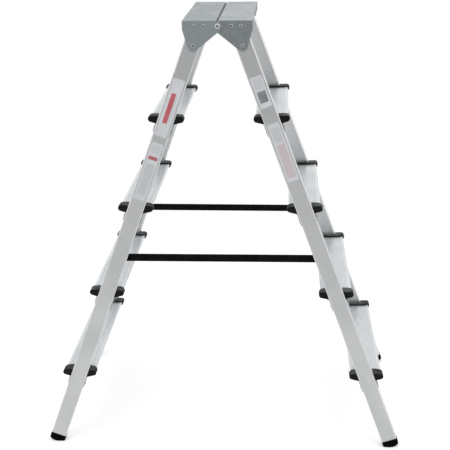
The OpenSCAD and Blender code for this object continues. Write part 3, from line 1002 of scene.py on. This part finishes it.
@dataclass(frozen=True)
class Platform:
    """The two halves of folded sheet, and the rivets that they turn on."""

    sizes: Sizes
    fold_radius: float = 1.6 * MM
    edge_radius: float = 0.3 * MM
    pivot_radius: float = 0.25 * MM
    bore_r: float = 2.3 * MM
    facing: float = 0.9
    level: float = 0.99
    left: Finish = GalvanisedSheet("zinc_left", "939a9c", dark="828a8c")
    right: Finish = GalvanisedSheet("zinc_right", "898f90", dark="737a7b")
    # Painted light: a lighter zinc for the upright faces that look inwards.
    inside: Finish = GalvanisedSheet("zinc_inside_painted_light", "b6bbbd", dark="a9afb1")
    # Painted highlight: a lighter zinc for the right half's top.
    top: Finish = GalvanisedSheet("zinc_top_painted_light", "9ba2a5", dark="8a9194")
    pivot: Finish = PlatedSteel("steel_pivot", "cfd3d4", dark="b3b7b9", metallic=0.7)
    # Painted shade: near-black for the inside of the pivots' hollow heads.
    bore_shade: Finish = PlatedSteel("steel_bore_painted_shade", "0a0b0b", dark="040404", metallic=0.4, roughness=0.7, worn=0.0)

    def build(self) -> None:
        """Rounds the folds and dresses the sheet and the pivots."""
        for side, sheet in ((Side.LEFT, self.left), (Side.RIGHT, self.right)):
            packed = EasedPiece(f"{side.value}_platform", Slot.SHEET, self.edge_radius, segments=1,
                                fold_radius=self.fold_radius)
            half = packed.build(side.body, sheet)
            self.paint_inside_lighter(half)
            if side is Side.RIGHT:
                self.paint_top_lighter(half)
        for end in End:
            rivet = EasedPiece(f"pivot_rivet_{end.value}", Slot.PIVOT, self.pivot_radius)
            self.paint_bore_shade(rivet.build(Side.LEFT.body, self.pivot))

    def paint_inside_lighter(self, half: bpy.types.Object) -> None:
        """Gives the upright faces of a half that look towards the platform's middle a lighter zinc, as
        painted light.

        Args:
            half: The half.
        """
        half.data.materials.append(self.inside.material())
        for face in half.data.polygons:
            inward = [abs(n) for n, c in zip(face.normal.xy, face.center.xy) if n * c < 0]
            face.material_index = int(max(inward, default=0.0) > self.facing)

    def paint_top_lighter(self, half: bpy.types.Object) -> None:
        """Gives the top of a half a lighter zinc, as a painted highlight.

        Args:
            half: The half.
        """
        number = len(half.data.materials)
        half.data.materials.append(self.top.material())
        for face in half.data.polygons:
            if face.normal.z > self.level:
                face.material_index = number

    def paint_bore_shade(self, rivet: bpy.types.Object) -> None:
        """Gives the inside of a pivot's hollow head a near-black finish, as painted shade.

        Args:
            rivet: The pivot rivet.
        """
        mesh = rivet.data
        mesh.materials.append(self.bore_shade.material())
        offsets = [math.hypot(v.co.x, v.co.z - self.sizes.hinge_z) for v in mesh.vertices]
        for face in mesh.polygons:
            face.material_index = int(max(offsets[i] for i in face.vertices) < self.bore_r)


@dataclass(frozen=True)
class Rivets:
    """The blind rivets: domed heads, and the broken pins in their recesses.

    Corners of the lip, the dome and the pin's tip are shares of a radius and a height: the hole's radius and
    the head's height, both of the head, and both of the pin.
    """

    sizes: Sizes
    shank_r: float = 2 * MM
    hole_r: float = 2.1 * MM
    head_r: float = 4.4 * MM
    head_h: float = 1.4 * MM
    lip: tuple[Pair, ...] = ((1.0, 0.86), (1.12, 0.97))
    dome: tuple[Pair, ...] = ((0.58, 1.0), (0.78, 0.84), (0.93, 0.52), (1.0, 0.12), (0.99, 0.0))
    pin_tip: tuple[Pair, ...] = ((0.0, 1.0), (0.55, 0.9), (1.0, 0.7))
    pin_share: Pair = (0.97, 0.45)
    recess: float = 0.2
    swell: float = 1.4
    taper: Pair = (0.8, 0.3)
    tail: float = 3 * MM
    steps: int = 20
    strap_stack: float = 3 * MM
    clip_h: float = 23 * MM
    clip_drop: float = 0.55
    clip_arm: float = 14 * MM
    shelf_rivet_y: float = 9 * MM
    shelf_rivet_gap: float = 17 * MM
    cheek_rivet_in: float = 13 * MM
    cheek_rivet_out: float = 9 * MM
    lobe_drop: float = 46 * MM
    lobe_in: float = 4 * MM
    head: Finish = PlatedSteel("aluminium_rivet", "adb2b4", dark="989da0", metallic=0.6, roughness=0.36,
                               worn=0.2)
    # Painted shade: the broken pins are near-black, for the shade in the rivets' holes.
    pin: Finish = PlatedSteel("steel_pin_painted_shade", "0a0b0b", dark="040404", metallic=0.6, roughness=0.6, worn=0.0)

    def outline(self, grip: float) -> list[Pair]:
        """Radius and height of each corner of a rivet's half section, from its recess to its tail's tip.

        Args:
            grip: Thickness of what the rivet holds.

        Returns:
            The corners in order.
        """
        floor, tip = self.head_h * self.recess, -grip - self.tail
        shank, swollen = self.shank_r, self.shank_r * self.swell
        narrowed, rise = self.taper
        recess = [(0.0, floor), (self.hole_r, floor)]
        lip = [(self.hole_r * r, self.head_h * z) for r, z in self.lip]
        dome = [(self.head_r * r, self.head_h * z) for r, z in self.dome]
        stem = [(shank, 0.0), (shank, -grip), (swollen, -grip), (swollen, tip + self.tail * rise)]
        return recess + lip + dome + stem + [(shank * narrowed, tip), (0.0, tip)]

    def pin_outline(self) -> list[Pair]:
        """Radius and height of each corner of the broken pin's half section.

        Returns:
            The corners in order.
        """
        radius, top = self.hole_r * self.pin_share[0], self.head_h * self.pin_share[1]
        low = self.head_h * self.recess
        return [(radius * r, top * z) for r, z in self.pin_tip] + [(radius, low), (0.0, low)]

    def turned(self, corners: Sequence[Pair], place: Matrix, number: int) -> bpy.types.Mesh:
        """Spins a half section round its rivet's axis.

        Args:
            corners: Radius and height of each corner.
            place: Frame with its Z along the rivet and its seat at zero.
            number: Material number of the faces.

        Returns:
            The turned shape, in its place.
        """
        bm = bmesh.new()
        verts = [bm.verts.new((r, 0.0, z)) for r, z in corners]
        edges = [bm.edges.new(pair) for pair in zip(verts, verts[1:])]
        bmesh.ops.spin(bm, geom=verts + edges, cent=(0, 0, 0), axis=(0, 0, 1), angle=math.tau,
                       steps=self.steps, use_merge=True)
        bmesh.ops.remove_doubles(bm, verts=bm.verts, dist=WELD)
        for face in bm.faces:
            face.material_index = number
        bmesh.ops.transform(bm, matrix=place, verts=bm.verts)
        mesh = bpy.data.meshes.new("turned")
        bm.to_mesh(mesh)
        bm.free()
        return mesh

    def cheek_places(self, corner: Corner) -> Iterator[Matrix]:
        """Frames of the rivets through a platform's cheek.

        Args:
            corner: Corner of the ladder.

        Yields:
            Each frame.
        """
        s = self.sizes
        lobe_x = s.stile_x + self.lobe_drop * math.tan(s.lean) - self.lobe_in
        for x, z in ((s.stile_x - self.cheek_rivet_in, 0.0), (s.stile_x + self.cheek_rivet_out, 0.0),
                     (lobe_x, -self.lobe_drop)):
            yield corner.on_cheek @ move(x, s.sheet_t, z) @ turn(-QUARTER, "X")

    def clip_places(self, corner: Corner) -> Iterator[Matrix]:
        """Frames of the rivets through the clips' arms.

        Args:
            corner: Corner of the ladder.

        Yields:
            Each frame.
        """
        s = self.sizes
        seat = s.stile_w / 2 + s.fit + s.bracket_t
        for step, face in product(STEPS, (-1, 1)):
            shelf_z = s.tread_z(step) - s.tread_h - s.cap_grow
            up = s.along(shelf_z - self.clip_h * self.clip_drop)
            spot = move(face * seat, self.clip_arm / 2 - s.stile_t, up)
            yield corner.on_stile @ spot @ turn(face * QUARTER, "Y")

    def shelf_places(self, corner: Corner) -> Iterator[Matrix]:
        """Frames of the rivets up through the shelves.

        Args:
            corner: Corner of the ladder.

        Yields:
            Each frame.
        """
        s = self.sizes
        base = s.tread_h + s.cap_grow
        for step, share in product(STEPS, (-0.5, 0.5)):
            rise = s.along(s.tread_z(step) - base)
            inner = s.half_l(corner.side) - s.stile_t / math.cos(s.flare) - rise * math.sin(s.flare)
            spot = move(share * self.shelf_rivet_gap, inner - self.shelf_rivet_y, -base - s.bracket_t)
            yield corner.on_tread(step) @ spot @ turn(math.pi, "X")

    def strap_places(self, corner: Corner) -> Iterator[Matrix]:
        """Frame of the rivet through a strap's plate."""
        yield corner.on_inner(self.sizes.strap_z) @ move(0, -self.strap_stack, 0) @ turn(QUARTER, "X")

    def build(self) -> None:
        """Builds each section's rivets in three sets."""
        s = self.sizes
        sets = {
            "platform_rivets": [(self.cheek_places, s.sheet_t + s.stile_wall)],
            "bracket_rivets": [(self.clip_places, s.bracket_t + s.fit + s.stile_wall),
                               (self.shelf_places, s.bracket_t + s.cap_grow + s.tread_wall)],
            "strap_rivets": [(self.strap_places, self.strap_stack + s.stile_wall)],
        }
        for side, (name, rows) in product(Side, sets.items()):
            bm = bmesh.new()
            for (places, grip), end in product(rows, End):
                for place in places(Corner(s, side, end)):
                    for number, corners in enumerate((self.outline(grip), self.pin_outline())):
                        mesh = self.turned(corners, place, number)
                        bm.from_mesh(mesh)
                        bpy.data.meshes.remove(mesh)
            bmesh.ops.recalc_face_normals(bm, faces=bm.faces)
            node = f"{side.value}_{name}"
            finished(bm, f"{node}_domed", side.body, Slot.RIVET, [self.head, self.pin], node)


@dataclass(frozen=True)
class SpreadStrap:
    """A webbing strap between the stiles of one end."""

    sizes: Sizes
    end: End
    width: float = 20 * MM
    thick: float = 1.4 * MM
    gap: float = 0.05 * MM
    tail: float = 13 * MM
    tab: float = 26.5 * MM
    cut: float = 0.6 * MM
    cut_thin: float = 0.8
    edge_power: float = 0.5
    face_power: float = 0.22
    ribs: int = 9
    rib_depth: float = 0.12 * MM
    around: int = 72
    spans: int = 64
    cloth: Finish = Webbing("webbing_strap", "050506")

    def section(self, angle: float) -> Pair:
        """Corner of the strap's ribbed section.

        Args:
            angle: Place round the section.

        Returns:
            Its depth from the strap's middle, and its place across the width.
        """
        across = math.copysign(abs(math.sin(angle)) ** self.edge_power, math.sin(angle)) * self.width / 2
        depth = math.copysign(abs(math.cos(angle)) ** self.face_power, math.cos(angle)) * self.thick / 2
        ridge = 0.5 - 0.5 * math.cos(across / self.width * math.tau * self.ribs)
        return depth * (1 - ridge * 2 * self.rib_depth / self.thick), across

    def stations(self) -> list[Matrix]:
        """Frames along the strap, from the left tail to the right: Y out of its face, Z across it.

        Returns:
            The frames in order.
        """
        lie = -self.gap - self.thick / 2
        stops = (self.tail, self.tail - self.cut, self.tail / 2, 0.0, -self.tab / 2, -self.tab)
        left, right = (Corner(self.sizes, side, self.end).on_inner(self.sizes.strap_z) for side in Side)
        flip = Matrix.Diagonal((-1, 1, 1, 1))
        first = [left @ move(x, lie, 0) @ flip for x in stops]
        last = [right @ move(x, lie, 0) for x in reversed(stops)]
        middle = [first[-1].lerp(last[0], i / self.spans) for i in range(1, self.spans)]
        return first + middle + last

    def build(self) -> None:
        """Sweeps the section along the stations."""
        bm = bmesh.new()
        stations = self.stations()
        lengths = bm.verts.layers.float.new("along")
        widths = bm.verts.layers.float.new("across")
        chart = bm.loops.layers.uv.new("strap")
        ring = bmesh.ops.create_circle(bm, cap_ends=False, segments=self.around, radius=1.0)["verts"]
        shape = [self.section(math.atan2(v.co.y, v.co.x)) for v in ring]
        walked = 0.0
        for number, place in enumerate(stations):
            if number:
                walked += (place.translation - stations[number - 1].translation).length
                ring = self.grow(bm, ring)
            ease = self.cut_thin if number in (0, len(stations) - 1) else 1.0
            for vert, (depth, across) in zip(ring, shape):
                vert.co = place @ Vector((0, depth * ease, across))
                vert[lengths] = walked
                vert[widths] = across
        bmesh.ops.holes_fill(bm, edges=[e for e in bm.edges if e.is_boundary], sides=0)
        bmesh.ops.recalc_face_normals(bm, faces=bm.faces)
        for face in bm.faces:
            for loop in face.loops:
                loop[chart].uv = (loop.vert[lengths], loop.vert[widths])
        node = f"strap_{self.end.value}"
        piece = finished(bm, f"{node}_woven", None, Slot.STRAP, [self.cloth], node)
        y, z = stations[len(stations) // 2].translation.y, self.sizes.strap_z
        Side.LEFT.body
        Side.RIGHT.body
        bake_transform(piece)
        LOG.info("%s: %.3f m of webbing", piece.name, walked)

    @staticmethod
    def grow(bm: bmesh.types.BMesh, ring: Sequence[bmesh.types.BMVert]) -> list[bmesh.types.BMVert]:
        """Extrudes a ring.

        Args:
            bm: Mesh of the ring.
            ring: Its vertices.

        Returns:
            The new ring, in the old one's order.
        """
        held = set(ring)
        edges = [e for e in bm.edges if held.issuperset(e.verts)]
        grown = bmesh.ops.extrude_edge_only(bm, edges=edges)["geom"]
        fresh = {item for item in grown if isinstance(item, bmesh.types.BMVert)}
        return [next(e.other_vert(v) for e in v.link_edges if e.other_vert(v) in fresh) for v in ring]


@dataclass(frozen=True)
class StrapPlates:
    """The plates that clamp the straps' ends to the stiles."""

    radius: float = 0.3 * MM
    steel: Finish = PlatedSteel("steel_plate", "b4b7b9")

    def build(self) -> None:
        """Rounds and dresses the plates of both sections."""
        for side in Side:
            plates = EasedPiece(f"{side.value}_strap_plates", Slot.BRACKET, self.radius)
            plates.build(side.body, self.steel)


@dataclass(frozen=True)
class Stickers:
    """The plain stickers on one near stile.

    A row gives a sticker's drop below the platform, its height and its layout.
    """

    sizes: Sizes
    side: Side
    rows: tuple[tuple[float, float, Layout], ...]
    width: float = 30 * MM
    thick: float = 0.3 * MM
    corner_r: float = 2 * MM
    corner_segments: int = 4
    film: str = "cbcdd0"

    def build(self) -> None:
        """Builds each sticker flat, then lays it on the stile's outer face."""
        bm = bmesh.new()
        chart = bm.loops.layers.uv.new("film")
        finishes = []
        for number, (drop, height, layout) in enumerate(self.rows):
            high = self.sizes.along(self.sizes.platform_h - drop)
            low = self.sizes.along(self.sizes.platform_h - drop - height)
            name = f"film_{self.side.value}_{layout.value}_{number}"
            finishes.append(StickerFilm(name, self.film, layout, high - low, self.width))
            self.one(bm, chart, number, low, high)
        bmesh.ops.recalc_face_normals(bm, faces=bm.faces)
        node = f"{self.side.value}_labels"
        finished(bm, f"{self.side.value}_stickers", self.side.body, Slot.STICKER, finishes, node)

    def one(self, bm: bmesh.types.BMesh, chart: Any, number: int, low: float, high: float) -> None:
        """Adds one sticker.

        Args:
            bm: Mesh that takes the sticker.
            chart: Its map, in metres from the sticker's middle.
            number: Material number of the sticker.
            low: Its lower end along the stile.
            high: Its upper end along the stile.
        """
        corners = bmesh.ops.create_grid(bm, x_segments=1, y_segments=1, size=0.5)["verts"]
        bmesh.ops.scale(bm, vec=(self.width, high - low, 1.0), verts=corners)
        rounded = bmesh.ops.bevel(bm, geom=corners, offset=self.corner_r, offset_type="OFFSET",
                                  segments=self.corner_segments, profile=0.5, affect="VERTICES", material=-1)
        face = max({f for v in rounded["verts"] for f in v.link_faces}, key=lambda f: f.calc_area())
        raised = bmesh.ops.extrude_face_region(bm, geom=[face], use_keep_orig=True)["geom"]
        top = [item for item in raised if isinstance(item, bmesh.types.BMVert)]
        bmesh.ops.translate(bm, vec=(0, 0, self.thick), verts=top)
        faces = {f for v in top for f in v.link_faces} | {face}
        for item in faces:
            item.material_index = number
            for loop in item.loops:
                loop[chart].uv = loop.vert.co.xy
        place = Corner(self.sizes, self.side, End.NEAR).on_stile
        stood = Matrix(((1, 0, 0, 0), (0, 0, 1, 0), (0, 1, 0, (low + high) / 2), (0, 0, 0, 1)))
        bmesh.ops.transform(bm, matrix=place @ stood, verts=list({v for f in faces for v in f.verts}))


@dataclass(frozen=True)
class SoftBox:
    """A square studio lamp that looks at the ladder."""

    name: str
    place: Triple
    side: float
    power: float
    aim: Triple = (0.0, 0.0, 0.6)

    def build(self) -> None:
        """Hangs the lamp."""
        data = bpy.data.lights.new(self.name, "AREA")
        data.size = self.side
        data.energy = self.power
        lamp = bpy.data.objects.new(self.name, data)
        lamp.location = self.place
        lamp.rotation_euler = (Vector(self.aim) - Vector(self.place)).to_track_quat("-Z", "Y").to_euler()
        bpy.context.scene.collection.objects.link(lamp)


@dataclass(frozen=True)
class Studio:
    """A white sweep with soft lamps round it and a grey curtain behind the camera."""

    floor_half: float = 40.0
    floor_tone: float = 0.9
    floor_lift: float = 0.25
    clear: float = 0.75
    fade: float = 1.9
    level: float = 0.62
    curtain_y: float = -4.5
    curtain_w: float = 7.0
    curtain_h: float = 3.5
    curtain_tone: float = 0.5
    lamps: tuple[SoftBox, ...] = (
        SoftBox("lamp_over", (0.2, -0.3, 3.6), side=4.6, power=56.0),
        SoftBox("lamp_key", (-2.6, -2.6, 2.4), side=3.4, power=42.0),
        SoftBox("lamp_fill", (3.0, -1.6, 1.9), side=3.0, power=24.0),
    )

    def build(self) -> None:
        """Lays the floor, hangs the curtain and the lamps, and lights the air."""
        bpy.context.scene.view_settings.view_transform = "Standard"
        self.sheet("floor", Matrix.Scale(self.floor_half, 4), self.paper())
        upright = move(0, self.curtain_y, self.curtain_h / 2) @ turn(QUARTER, "X")
        curtain_size = Matrix.Diagonal((self.curtain_w / 2, self.curtain_h / 2, 1, 1))
        curtain = self.sheet("curtain", upright @ curtain_size, self.cloth())
        curtain.visible_camera = False
        self.air()
        for lamp in self.lamps:
            lamp.build()

    @staticmethod
    def sheet(name: str, place: Matrix, material: bpy.types.Material) -> bpy.types.Object:
        """Adds a flat sheet to the studio.

        Args:
            name: Name of the sheet.
            place: Turns a square that reaches one metre each way into the sheet.
            material: The sheet's material.

        Returns:
            The sheet's object.
        """
        bm = bmesh.new()
        bmesh.ops.create_grid(bm, x_segments=1, y_segments=1, size=1.0, matrix=place)
        mesh = bpy.data.meshes.new(name)
        bm.to_mesh(mesh)
        bm.free()
        mesh.materials.append(material)
        made = bpy.data.objects.new(name, mesh)
        bpy.context.scene.collection.objects.link(made)
        made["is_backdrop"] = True
        return made

    @staticmethod
    def matt(name: str, tone: float) -> tuple[bpy.types.Material, Graph, Socket]:
        """Starts a material with a matt grey.

        Args:
            name: Name of the material.
            tone: Its grey.

        Returns:
            The material, its graph, and the matt shader's output.
        """
        made = bpy.data.materials.new(name)
        made.use_nodes = True
        made.node_tree.nodes.clear()
        g = Graph(made.node_tree)
        return made, g, g.node("BsdfDiffuse", {"Color": (tone, tone, tone, 1.0)}).outputs[0]

    def paper(self) -> bpy.types.Material:
        """White paper that takes the shadow near the feet and runs out into plain white.

        Returns:
            The floor's material.
        """
        made, g, matt = self.matt("white_paper", self.floor_tone)
        far = g.measure("LENGTH", g.node("TexCoord").outputs["Object"])
        out = g.spread(far, self.clear, self.fade)
        seen = g.seen()
        lift = g.node("Emission", {"Color": WHITE, "Strength": g.math("MULTIPLY", seen, self.floor_lift)})
        near = g.node("AddShader", {0: matt, 1: lift.outputs[0]})
        plain = g.node("Emission", {"Color": WHITE, "Strength": 1.0})
        shaders = {0: g.math("MULTIPLY", out, seen), 1: near.outputs[0], 2: plain.outputs[0]}
        g.node("OutputMaterial", {0: g.node("MixShader", shaders).outputs[0]})
        return made

    def cloth(self) -> bpy.types.Material:
        """Grey cloth of the curtain.

        Returns:
            The curtain's material.
        """
        made, g, matt = self.matt("grey_cloth", self.curtain_tone)
        g.node("OutputMaterial", {0: matt})
        return made

    def air(self) -> None:
        """Even white all round, at full strength where it's seen or mirrored."""
        world = bpy.data.worlds.new("studio_air")
        world.use_nodes = True
        bpy.context.scene.world = world
        g = Graph(world.node_tree)
        back = world.node_tree.nodes["Background"]
        g.feed(back.inputs["Color"], WHITE)
        g.feed(back.inputs["Strength"], g.spread(g.seen(), 0.0, 1.0, self.level, 1.0))


@dataclass(frozen=True)
class ViewPoint:
    """The camera, at the photograph's angle."""

    place: Triple = (0.157958, -2.433859, 1.407862)
    yaw: float = math.radians(3.737)
    pitch: float = math.radians(19.731)
    roll: float = math.radians(-0.830)
    focal_px: float = 946.908

    def build(self) -> None:
        """Sets the camera up."""
        data = bpy.data.cameras.new("camera")
        data.sensor_width = SENSOR_WIDTH
        data.lens = self.focal_px / IMAGE_SIDE * SENSOR_WIDTH
        data.clip_start = CLIP_START
        camera = bpy.data.objects.new("camera", data)
        facing = Euler((QUARTER - self.pitch, 0.0, self.yaw), "XYZ").to_matrix().to_4x4()
        camera.matrix_world = move(*self.place) @ facing @ turn(self.roll, "Z")
        bpy.context.scene.collection.objects.link(camera)
        bpy.context.scene.camera = camera


def corners(box: Sequence[Vector]) -> list[list[float]]:
    """Writes a box's two corners as plain lists."""
    return [list(corner) for corner in box]


def main() -> None:
    """Builds the studio and every sub-assembly, and measures the model's bounds."""
    logging.basicConfig(level=logging.INFO, format="%(name)s: %(message)s")
    packed = corners(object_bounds())
    sizes = Sizes()
    left_rows = ((137 * MM, 139 * MM, Layout.BAR), (292 * MM, 143 * MM, Layout.FLAG))
    right_rows = ((131 * MM, 74 * MM, Layout.PLATE), (244 * MM, 142 * MM, Layout.PANEL))
    straps = [SpreadStrap(sizes, end) for end in End]
    stickers = [Stickers(sizes, Side.LEFT, left_rows), Stickers(sizes, Side.RIGHT, right_rows)]
    for part in (ViewPoint(), Studio(), Effects(), Stiles(sizes), Treads(), Feet(), Platform(sizes),
                 Rivets(sizes), StrapPlates(), *straps, *stickers):
        part.build()
    {"packed": packed, "visual": corners(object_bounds())}


if __name__ == "__main__":
    main()
